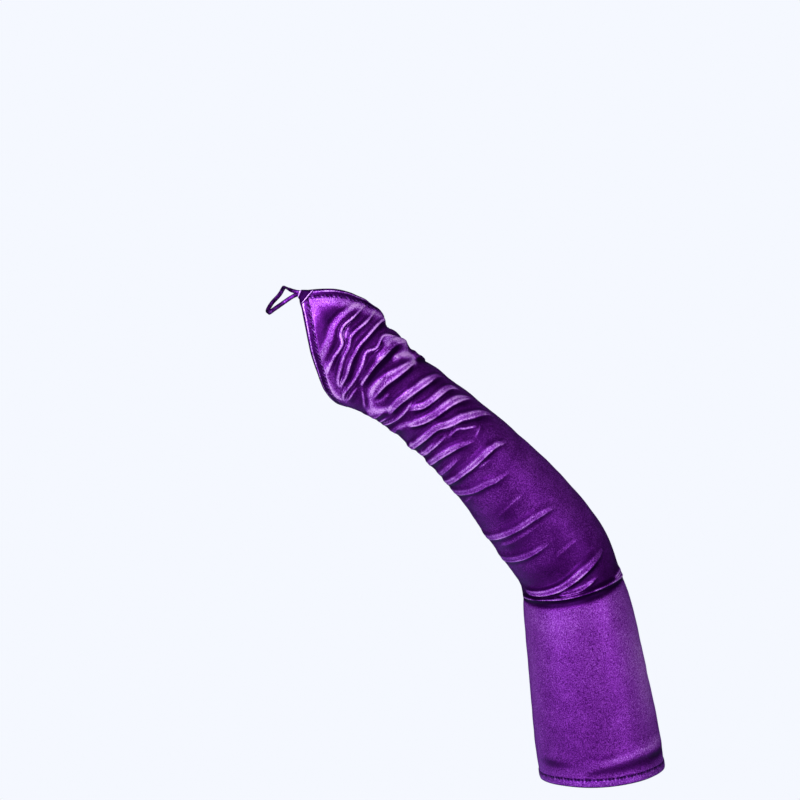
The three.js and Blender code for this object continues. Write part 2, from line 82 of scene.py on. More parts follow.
# Folds, each along its lower edge, which carries a painted highlight line: height, width of its flat top,
# slope on the hand side and slope on the elbow side in mm, gleam of its painted highlight lines and of the
# painted light on its top, then its course as around and reach.
FOLDS = [
    # above the arm hem
    (1.4, 3.5, 7.0, 4.0, 0.00, [(84, 0.105), (59, 0.112), (32, 0.128), (12, 0.128), (-7, 0.108),
                                (-22, 0.090)]),
    # elbow
    (2.6, 0.0, 4.0, 3.0, 0.75, [(94, 0.910), (76, 0.930), (60, 0.937), (40, 0.942), (15, 0.944),
                                (-15, 0.946), (-45, 0.955), (-70, 0.955), (-92, 0.935)]),
    (1.8, 0.5, 3.0, 2.5, 0.60, [(96, 0.930), (80, 0.947), (68, 0.957), (48, 0.950)]),
    (1.5, 3.0, 3.0, 2.0, 0.60, [(30, 1.002), (20, 0.990), (10, 0.975), (0, 0.966), (-12, 0.965),
                                (-24, 0.970)]),
    (2.8, 4.5, 5.0, 3.0, 0.70, [(50, 1.062), (30, 1.050), (10, 1.033), (-8, 1.012), (-20, 0.998),
                                (-30, 0.990), (-42, 0.985), (-56, 0.988), (-72, 1.004)]),
    # forearm below its middle
    (0.5, 2.0, 5.0, 4.0, 0.25, [(26, 1.148), (10, 1.157), (-10, 1.153)]),
    (2.0, 4.0, 6.0, 2.5, 0.42, [(1, 1.219), (-20, 1.216), (-40, 1.212), (-65, 1.213), (-82, 1.208),
                                (-104, 1.192)]),
    (0.6, 1.5, 3.0, 3.0, 0.20, [(0, 1.305), (-25, 1.303), (-45, 1.296), (-62, 1.290)]),
    (2.3, 3.5, 6.0, 2.5, 0.50, [(30, 1.305), (20, 1.315), (10, 1.325), (-5, 1.334), (-25, 1.336),
                                (-50, 1.332), (-75, 1.324), (-104, 1.296)]),
    (0.5, 1.0, 5.0, 4.0, 0.20, [(12, 1.432), (-5, 1.435), (-20, 1.430), (-38, 1.414)]),
    (0.8, 1.0, 3.0, 3.0, 0.25, [(-50, 1.536), (-62, 1.522), (-74, 1.508)]),
    (2.0, 3.5, 5.0, 2.5, 0.48, [(16, 1.525), (0, 1.533), (-12, 1.539), (-20, 1.547), (-40, 1.550),
                                (-60, 1.556), (-78, 1.555), (-104, 1.533)]),
    (0.5, 0.0, 2.0, 2.0, 0.45, [(6, 1.607), (0, 1.613), (-14, 1.616)]),
    (2.4, 3.0, 4.5, 3.0, 0.74, [(44, 1.595), (34, 1.606), (26, 1.620), (16, 1.629), (0, 1.634),
                                (-30, 1.634), (-50, 1.627), (-65, 1.619), (-80, 1.606), (-104, 1.578)]),
    # forearm above its middle
    (1.3, 2.0, 3.5, 3.0, 0.30, [(-16, 1.695), (-35, 1.687), (-55, 1.676), (-75, 1.660), (-104, 1.638)]),
    (2.5, 3.0, 3.0, 3.0, 0.75, [(13, 1.696), (5, 1.704), (-5, 1.717), (-15, 1.728), (-28, 1.735),
                                (-42, 1.738), (-58, 1.731), (-76, 1.719), (-104, 1.693)]),
    (0.8, 0.0, 3.0, 2.5, 0.40, [(37, 1.711), (26, 1.707), (12, 1.703)]),
    (1.5, 0.0, 2.5, 2.5, 0.65, [(29, 1.718), (20, 1.737), (12, 1.753), (5, 1.773), (-4, 1.776),
                                (-14, 1.774)]),
    (1.5, 2.4, 2.0, 2.0, 0.85, [(-6, 1.789), (-14, 1.786), (-30, 1.785), (-45, 1.782), (-60, 1.775),
                                (-76, 1.771), (-104, 1.758)]),
    (2.9, 3.2, 3.0, 3.0, 0.90, [(68, 1.678), (60, 1.694), (48, 1.720), (34, 1.747), (25, 1.765),
                                (18, 1.781), (8, 1.792), (-4, 1.810), (-11, 1.825), (-22, 1.831),
                                (-42, 1.831), (-60, 1.827), (-76, 1.818), (-104, 1.797)]),
    (2.7, 3.5, 3.0, 3.0, 0.85, [(68, 1.762), (60, 1.781), (50, 1.800), (36, 1.823), (20, 1.843), (0, 1.860),
                                (-14, 1.874), (-28, 1.892), (-41, 1.908)]),
    (1.6, 3.0, 3.0, 3.0, 0.45, [(-36, 1.925), (-48, 1.930), (-64, 1.922), (-80, 1.910), (-104, 1.890)]),
    (2.3, 2.5, 3.0, 2.5, 0.75, [(67, 1.822), (60, 1.838), (52, 1.858), (42, 1.873), (28, 1.886),
                                (14, 1.898), (2, 1.909), (-6, 1.921), (-12, 1.935), (-19, 1.946)]),
    (1.6, 0.6, 2.0, 2.0, 1.00, [(-3, 1.957), (-12, 1.953), (-25, 1.952), (-45, 1.956), (-62, 1.961),
                                (-78, 1.962), (-104, 1.950)]),
    (1.2, 0.8, 2.0, 2.0, 0.50, [(-46, 1.978), (-58, 1.983), (-75, 1.982), (-104, 1.964)]),
    (2.8, 3.5, 3.0, 2.5, 0.90, [(67, 1.898), (60, 1.910), (50, 1.924), (35, 1.940), (20, 1.955), (5, 1.970),
                                (-8, 1.981), (-20, 1.988), (-32, 1.989), (-44, 1.984)]),
    (2.0, 7.0, 4.0, 4.0, 0.35, [(-28, 2.020), (-45, 2.020), (-65, 2.020), (-104, 2.012)]),
    # wrist and hand
    (4.5, 5.0, 5.0, 1.5, 0.25, [(135, 1.940), (104, 1.962), (88, 1.976), (72, 2.008), (58, 2.045)]),
    (1.8, 2.0, 4.0, 3.0, 0.50, [(-32, 2.505), (-40, 2.455), (-48, 2.390), (-56, 2.330), (-64, 2.265)]),
    (0.6, 1.0, 3.0, 3.0, 0.25, [(-12, 2.072), (-20, 2.072), (-30, 2.068)]),
    (3.2, 4.5, 5.0, 4.0, 0.85, [(58, 2.011), (52, 2.022), (42, 2.045), (28, 2.068), (12, 2.095), (4, 2.110),
                                (-6, 2.127), (-18, 2.132), (-34, 2.128)]),
    (1.5, 1.5, 3.0, 4.0, 0.45, [(2, 2.162), (-8, 2.174), (-18, 2.177), (-28, 2.168), (-38, 2.152)]),
    (1.4, 1.5, 3.0, 3.0, 0.40, [(50, 2.140), (38, 2.160), (26, 2.168)]),
    (3.6, 0.5, 5.0, 5.0, 0.95, [(96, 2.110), (80, 2.138), (66, 2.160), (55, 2.185), (44, 2.217),
                                (32, 2.233), (20, 2.245), (5, 2.257), (-10, 2.255), (-21, 2.249),
                                (-28, 2.236)]),
    (1.6, 0.0, 2.0, 2.0, 0.55, [(-24, 2.244), (-30, 2.214), (-38, 2.183), (-48, 2.151), (-58, 2.120)]),
    (3.4, 2.0, 4.0, 4.0, 0.45, [(90, 2.135), (66, 2.172), (52, 2.215), (38, 2.242), (22, 2.255),
                                (6, 2.262)]),
    (1.6, 0.0, 2.0, 2.0, 0.50, [(-26, 2.252), (-31, 2.257), (-38, 2.256), (-45, 2.250), (-53, 2.247),
                                (-63, 2.251)]),
    (1.9, 0.0, 3.0, 3.0, 0.60, [(72, 2.198), (62, 2.240), (55, 2.270), (50, 2.295), (45, 2.316),
                                (40, 2.328), (34, 2.326), (27, 2.313), (20, 2.318), (16, 2.340),
                                (12, 2.357), (8, 2.350), (3, 2.334), (-4, 2.318), (-14, 2.307),
                                (-26, 2.298), (-45, 2.297), (-54, 2.282), (-64, 2.256)]),
    (2.4, 0.6, 3.5, 3.5, 0.95, [(90, 2.372), (76, 2.374), (66, 2.383), (55, 2.400), (40, 2.409),
                                (26, 2.413), (14, 2.418), (6, 2.412), (-3, 2.401), (-10, 2.388),
                                (-18, 2.367), (-26, 2.352), (-36, 2.346), (-43, 2.332)]),
    (2.2, 0.8, 3.0, 3.0, 0.75, [(72, 2.486), (55, 2.487), (42, 2.485), (28, 2.497), (17, 2.505),
                                (11, 2.500), (8, 2.480), (4, 2.465), (-5, 2.455), (-12, 2.440),
                                (-20, 2.415), (-30, 2.390), (-37, 2.366), (-43, 2.336)]),
    (1.0, 0.0, 1.5, 1.5, 0.45, [(24, 2.566), (18, 2.556), (12, 2.545), (9, 2.525), (12, 2.505)]),
    (2.0, 0.5, 3.0, 2.5, 0.80, [(70, 2.571), (55, 2.584), (30, 2.586), (20, 2.597), (12, 2.588), (8, 2.570),
                                (6, 2.545), (3, 2.515), (-5, 2.504), (-15, 2.499), (-25, 2.482),
                                (-39, 2.463)]),
    (1.6, 3.0, 5.0, 5.0, 0.10, [(62, 2.598), (48, 2.625), (34, 2.640), (22, 2.645), (10, 2.632), (2, 2.600),
                                (-8, 2.568), (-20, 2.548), (-31, 2.535)]),
    # underside
    (2.0, 2.0, 9.0, 8.0, 0.30, [(258, 0.945), (228, 1.000), (190, 1.010), (150, 0.985)]),
    (1.6, 2.0, 6.0, 4.0, 0.35, [(276, 1.192), (245, 1.180), (205, 1.200)]),
    (1.6, 2.0, 6.0, 4.0, 0.35, [(276, 1.296), (235, 1.330), (170, 1.360)]),
    (1.7, 2.0, 5.0, 4.0, 0.35, [(276, 1.533), (245, 1.525), (215, 1.520)]),
    (1.8, 2.0, 5.0, 4.0, 0.40, [(276, 1.578), (220, 1.600), (150, 1.570)]),
    (1.2, 1.0, 4.0, 3.0, 0.30, [(276, 1.638), (250, 1.640), (225, 1.650)]),
    (2.0, 2.0, 4.0, 4.0, 0.40, [(276, 1.693), (205, 1.695), (130, 1.650)]),
    (1.4, 1.5, 3.0, 3.0, 0.35, [(276, 1.758), (240, 1.760), (200, 1.770)]),
    (2.2, 2.0, 4.0, 4.0, 0.40, [(276, 1.797), (195, 1.800), (110, 1.730)]),
    (1.6, 2.0, 4.0, 4.0, 0.35, [(276, 1.890), (232, 1.880), (190, 1.885)]),
    (1.6, 2.0, 4.0, 4.0, 0.35, [(180, 1.840), (132, 1.830), (84, 1.790)]),
    (1.8, 2.0, 4.0, 4.0, 0.35, [(276, 1.957), (205, 1.968), (140, 1.940)]),
    (2.0, 2.0, 4.0, 4.0, 0.40, [(200, 2.010), (140, 1.988), (80, 1.900)]),
    (1.8, 3.0, 4.0, 4.0, 0.35, [(272, 2.030), (222, 2.060), (175, 2.080)]),
    (1.6, 2.0, 4.0, 4.0, 0.35, [(150, 2.110), (115, 2.115), (84, 2.100)]),
]

# Soft bands of painted light and shade, shade below nought: strength, half width in mm, course as around and
# reach.
PAINTED_LIGHT_BANDS = [
    (0.40, 1.9, [(68, 2.592), (56, 2.622), (42, 2.648), (24, 2.665), (10, 2.654), (0, 2.620), (-12, 2.590),
                 (-24, 2.566), (-36, 2.548)]),
    (0.34, 0.9, [(5, 2.835), (1, 2.800), (-5, 2.745), (-11, 2.690), (-17, 2.640), (-23, 2.592),
                 (-28, 2.556)]),
    (0.30, 1.6, [(-32, 2.505), (-40, 2.455), (-48, 2.390), (-56, 2.330), (-64, 2.265)]),
    (0.72, 2.9, [(72, 2.110), (63, 2.152), (57, 2.205), (51, 2.250), (45, 2.288), (38, 2.290),
                 (28, 2.272)]),
    (0.20, 1.5, [(-18, 2.309), (-5, 2.320), (1, 2.333), (6, 2.348), (11, 2.357), (15, 2.339), (20, 2.322)]),
    (0.72, 2.0, [(40, 2.046), (52, 2.042), (60, 2.060), (57, 2.096), (47, 2.130), (36, 2.162),
                 (26, 2.181)]),
    (0.62, 2.0, [(-68, 2.095), (-60, 2.086), (-52, 2.074), (-45, 2.042), (-36, 2.012), (-24, 2.004)]),
    (0.52, 1.4, [(-52, 2.092), (-44, 2.112), (-36, 2.139), (-27, 2.163), (-19, 2.177), (-9, 2.181),
                 (1, 2.165)]),
    (0.30, 1.1, [(-37, 2.114), (-32, 2.092), (-25, 2.079), (-14, 2.076)]),
    (0.55, 1.6, [(-28, 1.904), (-34, 1.912), (-41, 1.920), (-48, 1.923), (-58, 1.918)]),
    (0.50, 0.9, [(-55, 1.844), (-62, 1.850), (-67, 1.842), (-60, 1.834)]),
    (0.45, 0.8, [(-53, 1.780), (-60, 1.782), (-66, 1.797)]),
    (-0.30, 0.8, [(-12, 1.794), (-22, 1.795), (-32, 1.794), (-44, 1.787)]),
    (-0.16, 2.6, [(44, 2.175), (26, 2.205), (4, 2.222), (-18, 2.212)]),
    (0.30, 1.8, [(8, 2.585), (10, 2.560), (13, 2.535), (16, 2.512)]),
    (0.14, 2.2, [(62, 2.450), (36, 2.455), (12, 2.462), (-6, 2.430), (-26, 2.372)]),
]

# Soft patches of painted light and shade, shade below nought: around, reach, half turn in degrees, half
# length in mm, strength.
PAINTED_LIGHT_PATCHES = [
    (16, 2.730, 22, 5.0, -0.22), (-12, 2.680, 13, 7.0, -0.28), (12, 2.855, 24, 8.0, 0.12),
    (-28, 2.600, 6, 6.0, 0.16), (-34, 2.510, 6, 3.0, 0.24),
    (51, 2.108, 8, 5.0, 0.42), (-48, 2.080, 12, 5.0, 0.26), (33, 2.304, 4, 1.6, -0.45),
    (-74, 0.450, 18, 60.0, 0.16), (68, 0.500, 26, 46.0, 0.24), (82, 0.960, 12, 4.0, 0.20),
    (-40, 0.972, 26, 1.6, -0.15), (68, 0.947, 9, 1.8, 0.25), (-50, 1.003, 18, 2.4, 0.15),
    (-52, 0.130, 18, 2.4, -0.26), (0, 0.158, 24, 1.6, -0.12), (46, 0.150, 34, 3.0, 0.26),
    (8, 0.130, 18, 3.0, 0.14), (56, 0.088, 26, 4.0, -0.34), (14, 0.090, 20, 2.6, -0.30),
    (-34, 1.270, 24, 6.0, -0.10), (-24, 1.410, 16, 8.0, -0.10), (-24, 1.110, 32, 9.0, -0.15),
    (-40, 0.800, 36, 14.0, 0.06), (60, 0.450, 30, 60.0, 0.10), (60, 1.350, 26, 45.0, 0.05),
    (38, 1.255, 20, 10.0, 0.05), (45, 1.490, 14, 7.0, 0.07),
]

# Painted light and shade on the smooth cloth along the sleeve, darkest by the elbow crease: reach, tone
PAINTED_LIGHT_ALONG_SLEEVE = np.array([
    (0.00, 0.40), (0.20, 0.32), (0.50, 0.36), (0.80, 0.41), (0.875, 0.44), (0.888, 0.32), (0.900, 0.03),
    (0.98, 0.10), (1.10, 0.24), (1.40, 0.28), (1.60, 0.26), (1.80, 0.23), (2.00, 0.20), (2.60, 0.19),
    (2.80, 0.26), (3.00, 0.30),
])

# Strip of painted light beside the hand hem: around, tone
PAINTED_LIGHT_BESIDE_HEM = np.array([
    (-180, 0.00), (-75, 0.05), (-62, 0.25), (-50, 0.30), (-36, 0.25), (-22, 0.12), (-8, 0.20), (8, 0.16),
    (24, 0.32), (48, 0.52), (66, 0.56), (84, 0.12), (180, 0.00),
])


def table_curve(rows, column):
    """A smooth curve through table rows that never overshoots between them."""
    x, y = rows[:, 0], rows[:, column]
    slope = np.diff(y) / np.diff(x)
    tangent = np.concatenate([slope[:1], np.zeros(len(x) - 2), slope[-1:]])
    before, after = slope[:-1], slope[1:]
    same = before * after > 0
    tangent[1:-1][same] = 2 * before[same] * after[same] / (before + after)[same]

    def value(at):
        at = np.clip(at, x[0], x[-1])
        i = np.clip(np.searchsorted(x, at) - 1, 0, len(x) - 2)
        step = x[i + 1] - x[i]
        t = (at - x[i]) / step
        rise = y[i] * (1 + 2 * t) * (1 - t) ** 2 + y[i + 1] * t * t * (3 - 2 * t)
        return rise + step * t * (1 - t) * (tangent[i] * (1 - t) - tangent[i + 1] * t)

    return value


def along(reach):
    """Distance in mm along the centre line."""
    reach = np.asarray(reach, float)
    hand = UPPER_ARM + FOREARM + (reach - 2) * HAND
    forearm = UPPER_ARM + (reach - 1) * FOREARM
    return np.where(reach < 1, reach * UPPER_ARM, np.where(reach < 2, forearm, hand))


lean_at, pitch_at = table_curve(COURSE, 1), table_curve(COURSE, 2)
width_at, depth_at = table_curve(SECTIONS, 1), table_curve(SECTIONS, 2)


def axes(reach):
    """Directions ahead, to the outer side and to the front at each reach."""
    lean, pitch = np.radians(lean_at(reach)), np.radians(pitch_at(reach))
    ahead = np.stack([-np.sin(lean) * np.cos(pitch), -np.sin(pitch), np.cos(lean) * np.cos(pitch)], -1)
    outer = np.stack([np.cos(lean), np.zeros_like(lean), np.sin(lean)], -1)
    return ahead, outer, np.cross(outer, ahead)


steps = np.linspace(0, 3, 721)
moves = axes((steps[1:] + steps[:-1]) / 2)[0] * np.diff(along(steps))[:, None]
centre_line = np.concatenate([np.zeros((1, 3)), np.cumsum(moves, 0)])


def form_point(reach, around, lift):
    """Points in mm on the sleeve's plain form without folds, lifted outwards."""
    reach, around, lift = np.broadcast_arrays(*[np.asarray(v, float) for v in (reach, around, lift)])
    ahead, outer, front = axes(reach)
    centre = np.stack([np.interp(reach, steps, centre_line[:, k]) for k in range(3)], -1)
    centre = centre + ahead * (np.minimum(reach, 0) * UPPER_ARM)[..., None]
    angle = np.radians(around)
    across = ((width_at(reach) * ARM_WIDTH / 2 + lift) * np.sin(angle))[..., None]
    deep = ((depth_at(reach) * ARM_DEPTH / 2 + lift) * np.cos(angle))[..., None]
    return centre + outer * across + front * deep


def flat_place(reach, around):
    """Place on the unrolled sleeve in mm: round the arm, and along it."""
    degree_length = np.pi * (width_at(reach) * ARM_WIDTH + depth_at(reach) * ARM_DEPTH) / 720
    return np.stack([around * degree_length, along(reach)], -1)


COURSE_STEP = 2.0  # mm between places on a course


def crest_line(course):
    """A course as an evenly spaced smooth line on the unrolled sleeve, and its length in mm."""
    points = flat_place(course[:, 1], course[:, 0])
    walked = np.concatenate([[0], np.cumsum(np.linalg.norm(np.diff(points, axis=0), axis=1))])
    table = np.column_stack([walked, points])
    fine = np.linspace(0, walked[-1], int(walked[-1] / COURSE_STEP) + 3)
    line = np.stack([table_curve(table, 1)(fine), table_curve(table, 2)(fine)], -1)
    line[1:-1] = (line[:-2] + 2 * line[1:-1] + line[2:]) / 4
    return line, walked[-1]


crest_lines = [crest_line(np.array(fold[-1], float)) for fold in FOLDS]
band_lines = [crest_line(np.array(band[-1], float)) for band in PAINTED_LIGHT_BANDS]


def from_line(here, line):
    """Distance in mm of places from a line, below nought on its elbow side, and the share along it."""
    best = np.full(len(here), 1e9)
    signed, share = np.zeros(len(here)), np.zeros(len(here))
    for i in range(len(line) - 1):
        step = line[i + 1] - line[i]
        off = here - line[i]
        t = np.clip(off @ step / (step @ step), 0, 1)
        gap = np.linalg.norm(off - t[:, None] * step, axis=1)
        side = np.where(step[0] * off[:, 1] - step[1] * off[:, 0] < 0, 1.0, -1.0)
        closer = gap < best
        best[closer] = gap[closer]
        signed[closer] = (gap * side)[closer]
        share[closer] = ((i + t) / (len(line) - 1))[closer]
    return signed, share


def bell(distance, width):
    """A soft bump of the given width."""
    return np.exp(-((distance / width) ** 2))


FOLD_START = 20.0  # mm over which a fold rises where it starts
FOLD_END = 12.0  # mm over which it sinks where it ends
TOP_SAG = 0.14  # share of its height by which a wide fold's flat top hangs in
EDGE_BLUR = 0.8  # mm
TOP_LIGHT = 0.27  # painted light on a flat top at full gleam
VALLEY_SHADE = 0.21  # painted shade taken from the tone beside a fold
UPPER_GLEAM = 0.50  # painted highlight on a wide fold's hand side edge, as a share of its elbow side edge
NO_CREST = 9.0  # mm, stands for cloth with no crest near it


def fold_relief(reach, around):
    """The folds' height in mm, their painted light and shade, and the nearest crest's distance in mm and the
    gleam of its painted highlight line.
    """
    height, tone, shade = np.zeros(reach.shape), np.zeros(reach.shape), np.zeros(reach.shape)
    crest, gleam = np.full(reach.shape, NO_CREST), np.zeros(reach.shape)
    # the folds of the underside run on past 180 degrees
    places = {turn: flat_place(reach, np.mod(around - turn, 360) + turn) for turn in (-180, 0)}
    for (tall, top, hand_side, elbow_side, shine, course), (line, length) in zip(FOLDS, crest_lines):
        place = places[0 if max(turn for turn, at in course) > 180 else -180]
        reachable = max(top + hand_side, elbow_side) + 2
        near = np.all((place > line.min(0) - reachable) & (place < line.max(0) + reachable), -1)
        signed, share = from_line(place[near], line)
        begun, left = share * length, (1 - share) * length
        rise = np.sin(np.clip(np.minimum(begun / FOLD_START, left / FOLD_END), 0, 1) * np.pi / 2)
        lit = np.clip(np.minimum(begun / min(5 + 3.5 * top, length / 4), left / 4), 0, 1)
        wide = top * np.clip(np.minimum(begun / (6 + 4 * top), left / (3 + top)), 0, 1) ** 0.8 + 1e-3
        # a steep elbow side, a flat top that hangs in a little, and a soft hand side
        below = np.clip(-signed / elbow_side, 0, 1)
        above = np.clip((signed - wide) / hand_side, 0, 1)
        sag = TOP_SAG * np.sin(np.pi * np.clip(signed / wide, 0, 1)) * min(top / 3, 1)
        profile = (1 - below) ** 1.4 * (1 - above * above * (3 - 2 * above)) - sag
        height[near] += np.maximum(tall * profile * rise, 0) ** 3
        # painted light on the flat top, painted shade in the valley on each side
        on_top = np.clip(signed / EDGE_BLUR, 0, 1) * np.clip((wide - signed) / EDGE_BLUR + 1, 0, 1)
        tone[near] = np.maximum(tone[near], shine * lit * TOP_LIGHT * on_top)
        under = bell(signed + 2.1, 2.2) * (signed < 0)
        over = 0.5 * bell(signed - wide - 2.0, 1.4) * (signed > wide)
        shade[near] = np.maximum(shade[near], (under + over) * lit * min(tall / 2.5, 1))
        # a wide fold has a crest with a painted highlight line along both edges of its top
        upper = (signed > wide / 2) & (top > 1.1)
        edge = np.where(upper, 0.8 * np.abs(signed - wide), signed)
        nearer = np.abs(edge) < np.abs(crest[near])
        window = np.clip((2.2 - np.abs(edge)) / EDGE_BLUR, 0, 1) * np.where(upper, UPPER_GLEAM, 1.0)
        crest[near] = np.where(nearer, edge, crest[near])
        gleam[near] = np.where(nearer, shine * lit * window, gleam[near])
    return np.cbrt(height), tone - VALLEY_SHADE * shade, crest, gleam


DIP_REACH, DIP_DEPTH = 0.918, 1.6  # reach and mm, the hollow across the front beside the elbow folds
NOTCH_REACH, NOTCH_DEPTH = 2.335, 3.4  # reach and mm, the notch in the outer side between wrist and hand
SEAM_RIDGE, SEAM_GROOVE = 0.5, 0.6  # mm, cloth beside the underside seam and the seam itself
SEAM_TUBE = 60.0  # mm across, the middle size of the tube that the seam runs along
SIDE_STRETCH = 0.65  # share of their height that folds lose at the two sides
RUMPLES = 26  # waves in the fine unevenness of the cloth


def cloth_relief(reach, around):
    """The cloth's height in mm over the plain form, its painted light and shade, and the nearest crest and
    the gleam of its painted highlight line.
    """
    height, tone, crest, gleam = fold_relief(reach, around)
    place = flat_place(reach, around)
    dip_line = DIP_REACH - 0.006 * (around / 90) ** 2
    dip = bell(along(reach) - along(dip_line), 3.0) * np.clip(1.15 - np.abs(around + 5) / 90, 0, 1)
    seam = (180 - np.abs(around)) * np.pi * SEAM_TUBE / 360
    height = height * (1 - SIDE_STRETCH * bell(np.abs(around) - 90, 20))
    notch = bell(along(reach) - along(NOTCH_REACH), 5.0) * bell(around - 90, 26)
    height = height - DIP_DEPTH * dip - NOTCH_DEPTH * notch
    height = height + SEAM_RIDGE * bell(seam - 1.6, 0.8) - SEAM_GROOVE * bell(seam, 0.7)
    draws = np.random.default_rng(7)
    waves, tilts = draws.uniform(7, 30, RUMPLES), draws.normal(0, 0.5, RUMPLES)
    phases = draws.uniform(0, 6.28, RUMPLES)
    rough = np.zeros(reach.shape)
    for wave, tilt, phase in zip(waves, tilts, phases):
        ahead = place[..., 1] * math.cos(tilt) + place[..., 0] * math.sin(tilt)
        rough += np.sin(ahead * 2 * np.pi / wave + phase) * wave / 30
    loose = np.clip((reach - 1.4) / 0.4, 0, 1)
    height = height + rough * (0.03 + 0.05 * loose)
    # the step in painted light and shade beside the elbow folds follows their arch
    elbow = reach - 0.022 * ((around + 5) / 75) ** 2 * (np.abs(reach - 0.9) < 0.1)
    tone = tone + np.interp(elbow, PAINTED_LIGHT_ALONG_SLEEVE[:, 0], PAINTED_LIGHT_ALONG_SLEEVE[:, 1])
    # painted light and shade in soft bands and patches
    for (strength, half_width, course), (line, length) in zip(PAINTED_LIGHT_BANDS, band_lines):
        margin = 3 * half_width
        near = np.all((place > line.min(0) - margin) & (place < line.max(0) + margin), -1)
        signed, share = from_line(place[near], line)
        ends = np.sin(np.clip(np.minimum(share, 1 - share) * 5, 0, 1) * np.pi / 2)
        tone[near] += strength * ends * bell(signed, half_width)
    for turn, at, half_turn, half_length, strength in PAINTED_LIGHT_PATCHES:
        tone = tone + strength * bell(around - turn, half_turn) * bell(along(reach) - along(at), half_length)
    return height, tone, crest, gleam


def linear(code):
    """An sRGB hex colour as linear red, green, blue and alpha."""
    channels = [int(code[i : i + 2], 16) / 255 for i in (0, 2, 4)]
    return [c / 12.92 if c <= 0.04045 else ((c + 0.055) / 1.055) ** 2.4 for c in channels] + [1.0]


def add_node(tree, kind, inputs=None, **settings):
    """Adds a node. An input is a number, a colour or another node's output."""
    made = tree.nodes.new(kind)
    for name, value in settings.items():
        setattr(made, name, value)
    for name, value in (inputs or {}).items():
        if isinstance(value, bpy.types.NodeSocket):
            tree.links.new(value, made.inputs[name])
        else:
            made.inputs[name].default_value = value
    return made


# Stretch satin is knitted of polyester with a little elastane, so that smooth threads lie on its face.
# It gives the eye a soft coloured gloss with a lively grain. Its colour runs from shade to light with
# painted light
# and shade: pale thin painted highlight lines on the crests of its folds and deep purple painted shade in
# its valleys. The gloss has the cloth's own colour, so the shader is half metallic.
# The real grain is about 0.2 mm, too fine to show, so it is drawn 0.77 mm coarse.
GRAINS = 1300.0  # to a metre
CLOUDS = 70.0  # to a metre: soft uneven patches about 14 mm across
LINE_LIGHT = 0.96  # painted highlight that a crest adds at full gleam
CLOUD_TONE = 0.20  # tone between the darkest and the lightest patch


def satin_material(name, colours):
    """Satin with its colours from shade to light, chosen by painted light and shade."""
    material = bpy.data.materials.new(name)
    material.use_nodes = True
    tree = material.node_tree
    tree.nodes.clear()

    def math_node(operation, a, b=0.0, c=0.0):
        return add_node(tree, "ShaderNodeMath", {0: a, 1: b, 2: c}, operation=operation).outputs[0]

    place = add_node(tree, "ShaderNodeTexCoord").outputs["Object"]
    grain = add_node(tree, "ShaderNodeTexNoise", {
        "Vector": place, "Scale": GRAINS, "Detail": 2.0, "Roughness": 0.7,
    }).outputs["Fac"]
    cloud = add_node(tree, "ShaderNodeTexNoise", {
        "Vector": place, "Scale": CLOUDS, "Detail": 3.0,
    }).outputs["Fac"]
    # painted light and shade, and the distance to the nearest painted highlight line and its gleam
    tone = add_node(tree, "ShaderNodeAttribute", attribute_name="tone").outputs["Fac"]
    crest = add_node(tree, "ShaderNodeAttribute", attribute_name="crest").outputs["Fac"]
    gleam = add_node(tree, "ShaderNodeAttribute", attribute_name="gleam").outputs["Fac"]
    # a crest's painted highlight line ends sharply on its elbow side and softly on its hand side
    steep = math_node("MULTIPLY_ADD", math_node("LESS_THAN", crest, 0.0), -3.2, -1.5)
    narrow = math_node("EXPONENT", math_node("MULTIPLY", math_node("MULTIPLY", crest, crest), steep))
    uneven = math_node("MULTIPLY_ADD", cloud, 3.6, -0.85)
    bright = math_node("MULTIPLY", gleam, LINE_LIGHT)
    line = math_node("MULTIPLY", math_node("MULTIPLY", narrow, uneven), bright)
    blotch = math_node("MULTIPLY_ADD", cloud, CLOUD_TONE, -CLOUD_TONE / 2)
    soft = math_node("ADD", math_node("ADD", tone, blotch), line)
    # the grain shows most where the painted light is bright
    loudness = math_node("MULTIPLY_ADD", math_node("MAXIMUM", soft, 0.0), 2.7, 0.22)
    speckle = math_node("MULTIPLY", math_node("SUBTRACT", grain, 0.5), loudness)
    total = math_node("ADD", soft, speckle)
    ramp = add_node(tree, "ShaderNodeValToRGB", {"Fac": total})
    ramp.color_ramp.elements[0].color = linear(colours[0][1])
    ramp.color_ramp.elements[1].color = linear(colours[-1][1])
    for position, code in colours[1:-1]:
        ramp.color_ramp.elements.new(position).color = linear(code)
    rough = add_node(tree, "ShaderNodeMapRange", {"Value": grain, "To Min": 0.34, "To Max": 0.58})
    bump = add_node(tree, "ShaderNodeBump", {"Height": grain, "Strength": 0.4, "Distance": 0.0002})
    shader = add_node(tree, "ShaderNodeBsdfPrincipled", {
        "Base Color": ramp.outputs["Color"], "Roughness": rough.outputs[0],
        "Normal": bump.outputs["Normal"], "Metallic": 0.5, "Specular IOR Level": 0.3,
        "Specular Tint": linear("9E54FF"),
    })
    add_node(tree, "ShaderNodeOutputMaterial", {"Surface": shader.outputs["BSDF"]})
    return material


def make_piece(name, points, faces, looks, material):
    """A smooth mesh of points in mm, with its painted light and shade (tone), crest and gleam, that rides on
    the mitten.
    """
    mesh = bpy.data.meshes.new(name)
    mesh.from_pydata((np.asarray(points) / 1000).tolist(), [], faces)
    mesh.update()
    mesh.polygons.foreach_set("use_smooth", [True] * len(mesh.polygons))
    for label, values in zip(("tone", "crest", "gleam"), looks):
        layer = mesh.attributes.new(label, "FLOAT", "POINT")
        layer.data.foreach_set("value", np.broadcast_to(values, len(points)).astype(np.float32))
    mesh.materials.append(material)
    made = bpy.data.objects.new(name, mesh)
    bpy.context.scene.collection.objects.link(made)
    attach(made, "root")
    return made


